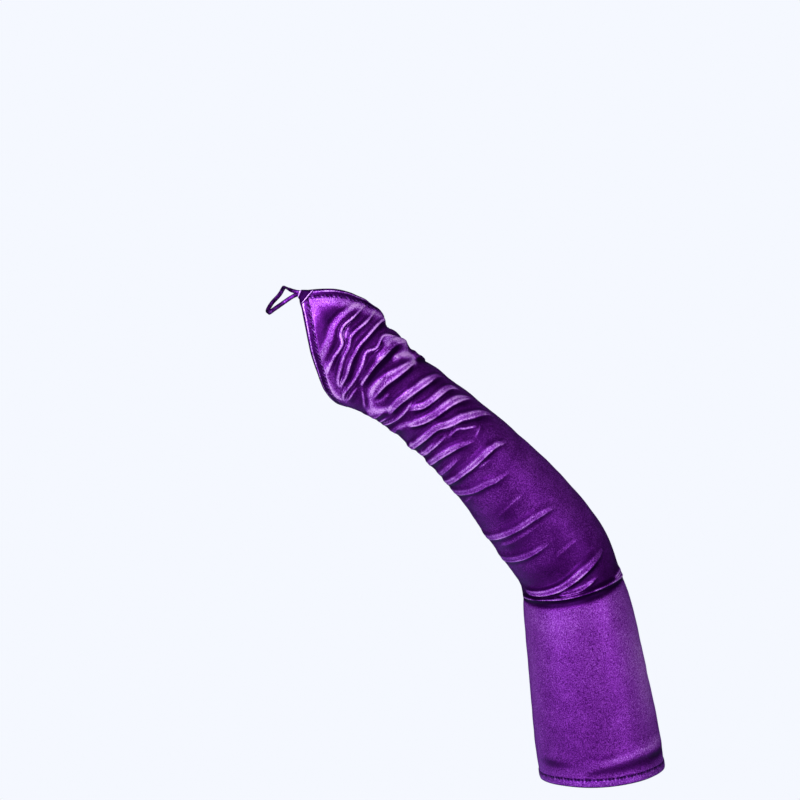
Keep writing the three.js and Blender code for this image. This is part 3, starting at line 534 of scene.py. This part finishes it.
def grid_faces(rings, columns, start, turned):
    """Quads between closed rings of points."""
    i, j = np.meshgrid(np.arange(rings - 1), np.arange(columns), indexing="ij")
    k = (j + 1) % columns
    quads = np.stack([i * columns + j, i * columns + k, (i + 1) * columns + k, (i + 1) * columns + j], -1)
    quads = quads.reshape(-1, 4) + start
    return (quads[:, ::-1] if turned else quads).tolist()


arm_edge = table_curve(ARM_EDGE, 1)
thumb_edge, outer_edge = table_curve(THUMB_EDGE, 1), table_curve(OUTER_EDGE, 1)


def hand_edge(around):
    """Reach of the hand opening's edge, which has a corner at the point."""
    return np.where(around < POINT_AROUND, thumb_edge(around), outer_edge(around))


INSET_SPAN = 0.35  # reach within which the inset place is looked for
INSET_HALVINGS = 16


def inset_reach(edge, around, distance, direction):
    """Reach that lies a distance in mm in from an opening edge."""
    ring = np.arange(-180, 180, 1.0)
    line = form_point(edge(ring), ring, 0)
    near = edge(around)
    far = near + direction * INSET_SPAN
    for halving in range(INSET_HALVINGS):
        middle = (near + far) / 2
        gap = np.linalg.norm(form_point(middle, around, 0)[:, None] - line[None], axis=2).min(1)
        clear = gap >= distance
        far = np.where(clear, middle, far)
        near = np.where(clear, near, middle)
    return far


UNDER_HEM = 0.8  # mm of the sleeve that lies under each hem
ARM_FAN, HAND_FAN = 0.2, 1.9  # reaches from where the rings fan out to meet the slanted openings
INSIDE_TONE = 0.25
HEM_STRIP = 4.0  # mm, the strip of painted light beside the hand hem
# around at the start of a run, around at its end, columns in it
COLUMN_RUNS = [(-180, -104, 22), (-104, -80, 12), (-80, 80, 126), (80, 104, 12), (104, 180, 22)]
# reach at the start of a run, reach at its end, rings in it
RING_RUNS = [(0, 0.86, 56), (0.86, 1.08, 44), (1.08, 1.5, 62), (1.5, 2.0, 120), (2.0, 3.0, 114)]
columns = np.concatenate([np.linspace(a, b, n, endpoint=False) for a, b, n in COLUMN_RUNS])
rings = np.concatenate([np.linspace(a, b, n, endpoint=False) for a, b, n in RING_RUNS] + [[3.0]])

arm_end = inset_reach(arm_edge, columns, HEM_WIDTH - UNDER_HEM, 1)
hand_end = inset_reach(hand_edge, columns, HEM_WIDTH - UNDER_HEM, -1)
ring = rings[:, None] + 0 * columns[None]
reach = np.where(ring < ARM_FAN, arm_end + ring / ARM_FAN * (ARM_FAN - arm_end), ring)
fan = (ring - HAND_FAN) / (3 - HAND_FAN)
reach = np.where(ring > HAND_FAN, HAND_FAN + fan * (hand_end - HAND_FAN), reach)
around = columns[None] + 0 * ring
height, tone, crest, gleam = cloth_relief(reach, around)
# how far in from the hand hem, nought where the cloth ends and one at the far side of the strip
strip_end = inset_reach(hand_edge, columns, HEM_WIDTH + HEM_STRIP, -1)
from_hem = (hand_end - reach) / (hand_end - strip_end)
# painted light in the strip beside the hand hem
tone = tone + table_curve(PAINTED_LIGHT_BESIDE_HEM, 1)(around) * bell(from_hem - 0.75, 0.8)
outside = form_point(reach, around, height)
inside = form_point(reach[::2, ::2], around[::2, ::2], height[::2, ::2] - WALL)
n_rings, n_columns = reach.shape
n_in = inside.shape[0] * inside.shape[1]
points = np.concatenate([outside.reshape(-1, 3), inside.reshape(-1, 3)])
looks = [
    np.concatenate([tone.ravel(), np.full(n_in, INSIDE_TONE)]),
    np.concatenate([crest.ravel(), np.full(n_in, NO_CREST)]),
    np.concatenate([gleam.ravel(), np.zeros(n_in)]),
]
faces = grid_faces(n_rings, n_columns, 0, False)
faces += grid_faces(inside.shape[0], inside.shape[1], n_rings * n_columns, True)
half = n_columns // 2
# the two edges, where each column of the inside meets two of the outside
for outer_row, inner_row, flip in ((0, 0, True), (n_rings - 1, inside.shape[0] - 1, False)):
    outer_start, inner_start = outer_row * n_columns, n_rings * n_columns + inner_row * half
    for j in range(half):
        a, b, c = (outer_start + (2 * j + k) % n_columns for k in range(3))
        d, e = inner_start + j, inner_start + (j + 1) % half
        for face in ((a, b, d), (b, e, d), (b, c, e)):
            faces.append(face[::-1] if flip else face)
# colours from painted shade to painted light
satin = satin_material("stretch_satin", [
    (0.0, "1E002C"), (0.25, "4D0F69"), (0.5, "8A36B4"), (0.75, "B26ADC"), (1.0, "E0A5FC"),
])
sleeve = make_piece("satin_sleeve", points, faces, looks, satin)
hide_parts("sleeve")

# Hems
# Bands of the same satin turned in at the arm opening and round the hand opening.
# Each is folded on its edge and held down by one row of stitches.

STITCH_SHARE = 0.83  # share of the way in from the edge where the stitches sink into the hem
# share of the way in from the edge, lift in mm, tone at the arm, tone at the hand, each tone painted light
# and shade
HEM_PROFILE = [
    (1.00, 0.10, 0.12, 0.20), (0.95, 0.24, 0.14, 0.34), (0.89, 0.24, 0.12, 0.34),
    (STITCH_SHARE, 0.08, 0.00, 0.02), (0.77, 0.30, 0.34, 0.12), (0.66, 0.50, 0.44, 0.08),
    (0.50, 0.62, 0.46, 0.06), (0.38, 0.66, 0.46, 0.18), (0.26, 0.64, 0.46, 0.24),
    (0.17, 0.52, 0.40, 0.06), (0.10, 0.40, 0.02, 0.04), (0.00, -0.50, 0.00, 0.04),
    (0.05, -1.40, 0.20, 0.20), (0.30, -1.90, 0.25, 0.25), (0.70, -1.90, 0.25, 0.25),
    (1.00, -1.70, 0.25, 0.25),
]
HEM_CREST = 0.31  # share of the way in from the edge where the hand hem has a thin painted highlight line
HEM_GLEAM = 0.6
STITCH_PITCH = 2.7  # mm
SLACK_PITCH = 7.7  # mm, the slower waves of a hem that isn't stretched evenly
PUCKER = 0.08  # mm, how far the stitches draw the hem in and out
# painted light and shade that follow the puckers by the stitches
PUCKER_LIGHT_AND_SHADE = 0.22
PAINTED_LIGHT_AT_POINT = 0.22  # painted light that the hand hem gains round the point


def hem_piece(name, edge, corners, direction, count):
    """A rounded band between an opening edge and the line where it is stitched down."""
    at_hand = direction < 0
    around = np.sort(np.concatenate([np.linspace(-180, 180, count, endpoint=False), corners]))
    around = around[np.concatenate([[True], np.diff(around) > 0.2])]
    near = edge(around)
    inset = inset_reach(edge, around, HEM_WIDTH, direction)
    walked = np.linalg.norm(np.diff(form_point(near, around, 0), axis=0), axis=1)
    walked = np.concatenate([[0], np.cumsum(walked)])
    walked *= STITCH_PITCH * round(walked[-1] / STITCH_PITCH) / walked[-1]
    pucker = np.sin(walked * 2 * np.pi / STITCH_PITCH)
    pucker = pucker + 0.6 * np.sin(walked * 2 * np.pi / SLACK_PITCH + 1)
    points, tones, crests = [], [], []
    for share, lift, arm_tone, hand_tone in HEM_PROFILE:
        reach = near + share * (inset - near)
        height = cloth_relief(reach, around)[0]
        points.append(form_point(reach, around, height + lift + PUCKER * pucker * (share > 0.5)))
        # painted light round the point, and painted light and shade on the puckers by the stitches
        painted_point_light = bell(around - POINT_AROUND, 16) * (0.35 < share < 0.8)
        own_tone = hand_tone + PAINTED_LIGHT_AT_POINT * painted_point_light if at_hand else arm_tone
        tones.append(own_tone + PUCKER_LIGHT_AND_SHADE * pucker * (share > 0.75))
        from_crest = 2 * (share - HEM_CREST) * HEM_WIDTH if lift > -0.5 else NO_CREST
        crests.append(np.full(len(around), from_crest))
    points, tones, crests = np.array(points), np.array(tones), np.array(crests)
    faces = grid_faces(len(HEM_PROFILE), len(around), 0, at_hand)
    last = (len(HEM_PROFILE) - 1) * len(around)
    for j in range(len(around)):
        k = (j + 1) % len(around)
        face = (last + j, last + k, k, j)
        faces.append(face[::-1] if at_hand else face)
    looks = [tones.ravel(), crests.ravel(), HEM_GLEAM if at_hand else 0.0]
    return make_piece(name, points.reshape(-1, 3), faces, looks, trim)


# The same satin, folded double and pressed. Its layers lie tight, so that it looks a little deeper in
# colour than the stretched sleeve.
trim = satin_material("folded_satin_trim", [
    (0.0, "1A002A"), (0.25, "460B63"), (0.5, "7D2DA9"), (0.75, "B068DA"), (1.0, "E0AEFA"),
])
arm_hem = hem_piece("satin_arm_hem", arm_edge, [], 1, 480)
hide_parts("arm_hem")
hand_hem = hem_piece("satin_hand_hem", hand_edge, [POINT_AROUND], -1, 600)
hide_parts("hand_hem")

# Stitches
# One row of dark thread along each hem, sunk a little into the stretched satin.
# Each stitch is a short rounded bar that follows the cloth.

STITCH_LENGTH = 1.7  # mm
STITCH_LIFT = 0.35  # mm over the cloth
THREAD = 0.15  # mm, half thickness
THREAD_SIDES = 6
# share along the stitch, share of the thread's thickness, rise in mm
STITCH_PROFILE = [(0, 0.3, -0.2), (0.12, 0.8, 0.0), (0.5, 1.0, 0.12), (0.88, 0.8, 0.0), (1, 0.3, -0.2)]


def bar(start, end, up, radius):
    """Points and faces of a short rounded bar that arches a little away from the cloth."""
    ahead = (end - start) / np.linalg.norm(end - start)
    side = np.cross(up, ahead)
    points, faces = [], []
    for share, girth, rise in STITCH_PROFILE:
        centre = start + share * (end - start) + up * rise
        for turn in np.arange(THREAD_SIDES) * np.pi / 3:
            points.append(centre + radius * girth * (math.cos(turn) * side + math.sin(turn) * up))
    for first in range(0, len(points) - THREAD_SIDES, THREAD_SIDES):
        for k in range(THREAD_SIDES):
            n, above = (k + 1) % THREAD_SIDES, first + THREAD_SIDES
            faces.append((first + k, first + n, above + n, above + k))
    faces += [tuple(range(THREAD_SIDES))[::-1], tuple(range(len(points) - THREAD_SIDES, len(points)))]
    return points, faces


def stitch_row(name, line, ups):
    """A row of stitches spaced evenly along a line on the cloth."""
    walked = np.concatenate([[0], np.cumsum(np.linalg.norm(np.diff(line, axis=0), axis=1))])
    count = int(walked[-1] / STITCH_PITCH)
    points, faces = [], []
    for start in np.arange(count) * walked[-1] / count:
        spot, ahead, up = (np.array([np.interp(at, walked, values[:, k]) for k in range(3)])
                           for at, values in ((start, line), (start + STITCH_LENGTH, line), (start, ups)))
        own_points, own_faces = bar(spot, ahead, up / np.linalg.norm(up), THREAD)
        faces += [tuple(corner + len(points) for corner in face) for face in own_faces]
        points += own_points
    return make_piece(name, points, faces, [0.0, NO_CREST, 0.0], thread)


def hem_stitches(name, edge, direction):
    """Stitches along the line where a hem is sewn down."""
    around = np.linspace(-180, 180, 721)
    inset = inset_reach(edge, around, HEM_WIDTH, direction)
    reach = edge(around) + STITCH_SHARE * (inset - edge(around))
    height = cloth_relief(reach, around)[0]
    line = form_point(reach, around, height + STITCH_LIFT)
    return stitch_row(name, line, form_point(reach, around, height + STITCH_LIFT + 1) - line)


# Spun polyester thread, a shade darker than the satin and without its gloss, so that it shows as a row
# of small dark dashes.
thread = bpy.data.materials.new("dark_sewing_thread")
thread.use_nodes = True
thread_shader = thread.node_tree.nodes["Principled BSDF"]
thread_shader.inputs["Base Color"].default_value = linear("48126A")
thread_shader.inputs["Roughness"].default_value = 0.55
arm_stitches = hem_stitches("arm_hem_stitches", arm_edge, 1)
hand_stitches = hem_stitches("hand_hem_stitches", hand_edge, -1)

# Point tab
# A small folded tab of satin sewn over the point, where it holds both ends of the loop.
# Its front edge is bound and its back edge is creased.

# corners of the tab: around, reach
TAB_CORNERS = {"upper": (4.5, 3.010), "right": (18, 2.946), "lower": (-1, 2.910), "left": (-1, 2.972)}
# share from the bound edge to the crease, lift in mm, tone of painted light and shade, distance in mm from a
# painted highlight line
TAB_PROFILE = [
    (0.00, 0.60, 0.10, 1.5), (0.03, 1.50, 0.35, 0.5), (0.08, 1.85, 0.50, 0.0), (0.14, 1.55, 0.25, 0.8),
    (0.20, 1.20, 0.05, 2.0), (0.50, 1.35, 0.02, NO_CREST), (0.74, 1.40, 0.02, 2.0), (0.82, 1.70, 0.15, 1.0),
    (0.88, 1.95, 0.55, 0.0), (0.94, 1.60, 0.15, -0.7), (1.00, 0.70, 0.00, -1.5),
]
TAB_UNDERSIDE = (0.45, 0.10, NO_CREST)  # lift in mm, tone of painted light and shade, distance from a painted highlight line
TAB_GLEAM = 0.9
TAB_COLUMNS = 15


def point_tab():
    """The tab's folded upper face, closed below by a plain one."""
    upper, right, lower, left = (np.array(corner, float) for corner in TAB_CORNERS.values())
    rows = np.array(TAB_PROFILE + [(share, *TAB_UNDERSIDE) for share, *rest in TAB_PROFILE[::-1]])
    share, lift, tone, crest = (rows[:, k, None] for k in range(4))
    cross = np.linspace(0, 1, TAB_COLUMNS)[:, None]
    bound, crease = left + cross * (upper - left), lower + cross * (right - lower)
    place = bound + share[..., None] * (crease - bound)
    around, reach = place[..., 0], place[..., 1]
    # the tab's two ends are pressed down a little
    rounded = 0.5 * (2 * cross[:, 0] - 1) ** 6 * (lift > 0.5)
    points = form_point(reach, around, cloth_relief(reach, around)[0] + lift - rounded)
    gleam = TAB_GLEAM * (crest < NO_CREST)
    looks = [np.broadcast_to(values, reach.shape).ravel() for values in (tone, crest, gleam)]
    faces = []
    for i in range(len(rows)):
        for j in range(len(cross) - 1):
            a, b = i * len(cross) + j, (i + 1) % len(rows) * len(cross) + j
            faces.append((a, a + 1, b + 1, b))
    for j, turned in ((0, False), (len(cross) - 1, True)):
        ring = tuple(i * len(cross) + j for i in range(len(rows)))
        faces.append(ring[::-1] if turned else ring)
    return make_piece("satin_point_tab", points.reshape(-1, 3), faces, looks, trim)


tab = point_tab()
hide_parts("point_tab")

# Finger loop
# A narrow strap of folded satin that holds the point in place when worn, sewn on under the tab.
# It is pressed flat, with its edges turned in.

STRAP_WIDTH = 2.9  # mm
STRAP_THICKNESS = 1.5  # mm
LOOP_LENGTH = 26.0  # mm
LOOP_PLACES = 110  # sections along the strap
CRUMPLE_LIGHT_AND_SHADE = 1.6  # painted light and shade for a whole strap thickness of crumple
# shares of LOOP_LENGTH to the right, away and up from the point, then the way the strap's face is turned
LOOP = np.array([
    (0.090, -0.030, -0.050, 0.0, -1.0, 0.1), (-0.060, -0.020, -0.085, 0.0, -1.0, 0.1),
    (-0.230, -0.010, -0.170, 0.0, -1.0, 0.2), (-0.480, 0.000, -0.340, -0.1, -1.0, 0.0),
    (-0.710, 0.190, -0.480, -0.4, -0.8, -0.5),
    (-0.850, 0.450, -0.550, -0.6, -0.2, -0.8), (-0.890, 0.720, -0.460, -0.5, 0.5, -0.7),
    (-0.790, 0.880, -0.260, -0.2, 1.0, -0.2), (-0.600, 0.820, -0.060, 0.3, 0.8, 0.5),
    (-0.480, 0.620, 0.100, 0.5, 0.4, 0.8), (-0.420, 0.350, 0.110, 0.6, -0.3, 0.8),
    (-0.300, 0.130, 0.050, 0.4, -0.8, 0.6), (-0.150, 0.010, -0.020, 0.1, -1.0, 0.3),
    (0.000, -0.020, -0.050, 0.0, -1.0, 0.1),
])
# share of STRAP_WIDTH across, share of STRAP_THICKNESS through, tone of painted light and shade
STRAP_SECTION = [
    (0.50, 0.00, 0.05), (0.46, 0.28, 0.16), (0.34, 0.44, 0.02), (0.20, 0.38, 0.18), (0.00, 0.42, 0.34),
    (-0.20, 0.38, 0.20), (-0.34, 0.44, 0.02), (-0.46, 0.28, 0.18), (-0.50, 0.00, 0.05), (-0.46, -0.30, 0.10),
    (0.00, -0.42, 0.15), (0.46, -0.30, 0.10),
]


def through_points(rows, count):
    """Evenly numbered places on a smooth curve through every row."""
    ends = np.concatenate([2 * rows[:1] - rows[1:2], rows, 2 * rows[-1:] - rows[-2:-1]])
    at = np.linspace(0, len(rows) - 1, count)
    i = np.minimum(at.astype(int), len(rows) - 2)
    t = (at - i)[:, None]
    a, b, c, d = ends[i], ends[i + 1], ends[i + 2], ends[i + 3]
    return b + t * (c - a) / 2 + t**2 * (a - 2.5 * b + 2 * c - d / 2) + t**3 * (1.5 * (b - c) + (d - a) / 2)


def finger_loop():
    """The strap swept along its course, its ends side by side in front of the point."""
    tip = form_point(3.0, POINT_AROUND, 0)
    course = through_points(LOOP, LOOP_PLACES)
    places = tip + course[:, :3] * LOOP_LENGTH
    ahead = np.gradient(places, axis=0)
    ahead /= np.linalg.norm(ahead, axis=1)[:, None]
    side = np.cross(course[:, 3:], ahead)
    side /= np.linalg.norm(side, axis=1)[:, None]
    face = np.cross(ahead, side)
    points, tones = [], []
    for i, place in enumerate(places):
        # the strap crumples a little, and its painted light and shade follow the crumple
        crumple = 0.05 * math.sin(i * 0.9) + 0.06 * math.sin(i * 0.37 + 1)
        for across, through, tone in STRAP_SECTION:
            on_edge = place + side[i] * across * STRAP_WIDTH
            points.append(on_edge + face[i] * (through + crumple) * STRAP_THICKNESS)
            tones.append(tone + CRUMPLE_LIGHT_AND_SHADE * crumple)
    size = len(STRAP_SECTION)
    faces = [tuple(range(size)), tuple(range(len(points) - 1, len(points) - size - 1, -1))]
    faces += grid_faces(len(places), size, 0, True)
    return make_piece("satin_finger_loop", points, faces, [tones, NO_CREST, 0.0], trim)


loop = finger_loop()
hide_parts("finger_loop")

# Camera, light and floor
# A level camera faces the front of the mitten. The main soft light comes from the upper left, with
# weaker ones from both sides and from behind, over a pale floor.

camera = bpy.data.objects.new("camera", bpy.data.cameras.new("camera"))
bpy.context.scene.collection.objects.link(camera)
camera.data.sensor_width = 36
camera.data.lens = 75
camera.location = (-0.14544, -1.2, 0.2664)
camera.rotation_euler = (math.radians(90), 0, 0)
bpy.context.scene.camera = camera


def soft_light(name, place, target, width, height, power, colour, glossy=True):
    """A soft light with sides in metres and power in watts, turned to a target.

    Without glossy, the satin shows no mirror image of it.
    """
    lamp = bpy.data.lights.new(name, "AREA")
    lamp.shape = "RECTANGLE"
    lamp.size, lamp.size_y, lamp.energy, lamp.color = width, height, power, colour
    made = bpy.data.objects.new(name, lamp)
    bpy.context.scene.collection.objects.link(made)
    made.location = place
    way = np.array(target) - np.array(place)
    yaw = math.atan2(way[0], -way[1])
    drop = math.acos(-way[2] / np.linalg.norm(way))
    made.rotation_euler = (drop, 0, yaw + math.pi)
    made.visible_glossy = glossy


middle = (-0.10, -0.03, 0.19)  # metres, about the middle of the mitten
soft_light("key", (-0.5, -1.5, 0.9), middle, 0.9, 0.9, 24, (1, 0.97, 1))
soft_light("left_fill", (-1.4, -0.9, 0.3), middle, 0.8, 1.2, 12, (0.93, 0.95, 1))
soft_light("right_fill", (1.1, -1.1, 0.2), middle, 0.8, 1.2, 9, (1, 1, 1))
soft_light("back_fill", (0.1, 1.6, 0.5), middle, 1.2, 1.2, 14, (1, 1, 1), glossy=False)

# The backdrop is seen at full brightness, but the light that it casts is weak and even.
world = bpy.data.worlds.new("studio")
bpy.context.scene.world = world
world.use_nodes = True
sky = world.node_tree
sky.nodes.clear()
seen = add_node(sky, "ShaderNodeBackground", {"Color": linear("F5F8FF"), "Strength": 1.0})
fill = add_node(sky, "ShaderNodeBackground", {"Color": linear("E8ECFF"), "Strength": 0.07})
path = add_node(sky, "ShaderNodeLightPath").outputs["Is Camera Ray"]
mix = add_node(sky, "ShaderNodeMixShader", {0: path, 1: fill.outputs[0], 2: seen.outputs[0]})
add_node(sky, "ShaderNodeOutputWorld", {"Surface": mix.outputs[0]})

FLOOR_RADIUS = 0.55  # m
FLOOR_HEIGHT = -0.16  # m, well below the mitten, which is held up and doesn't stand
FLOOR_CORNERS = 96
floor_mesh = bpy.data.meshes.new("floor")
rim = [
    (FLOOR_RADIUS * math.cos(turn) + middle[0], FLOOR_RADIUS * math.sin(turn) + middle[1], FLOOR_HEIGHT)
    for turn in np.linspace(0, 2 * np.pi, FLOOR_CORNERS, endpoint=False)
]
floor_mesh.from_pydata(rim, [], [tuple(range(FLOOR_CORNERS))])
floor = bpy.data.objects.new("floor", floor_mesh)
bpy.context.scene.collection.objects.link(floor)
# Matt studio paper, nearly white, that takes a faint soft shadow.
paper = bpy.data.materials.new("pale_paper")
paper.use_nodes = True
paper.node_tree.nodes["Principled BSDF"].inputs["Base Color"].default_value = linear("F2F4F8")
floor_mesh.materials.append(paper)

bpy.context.scene.view_settings.view_transform = "Standard"
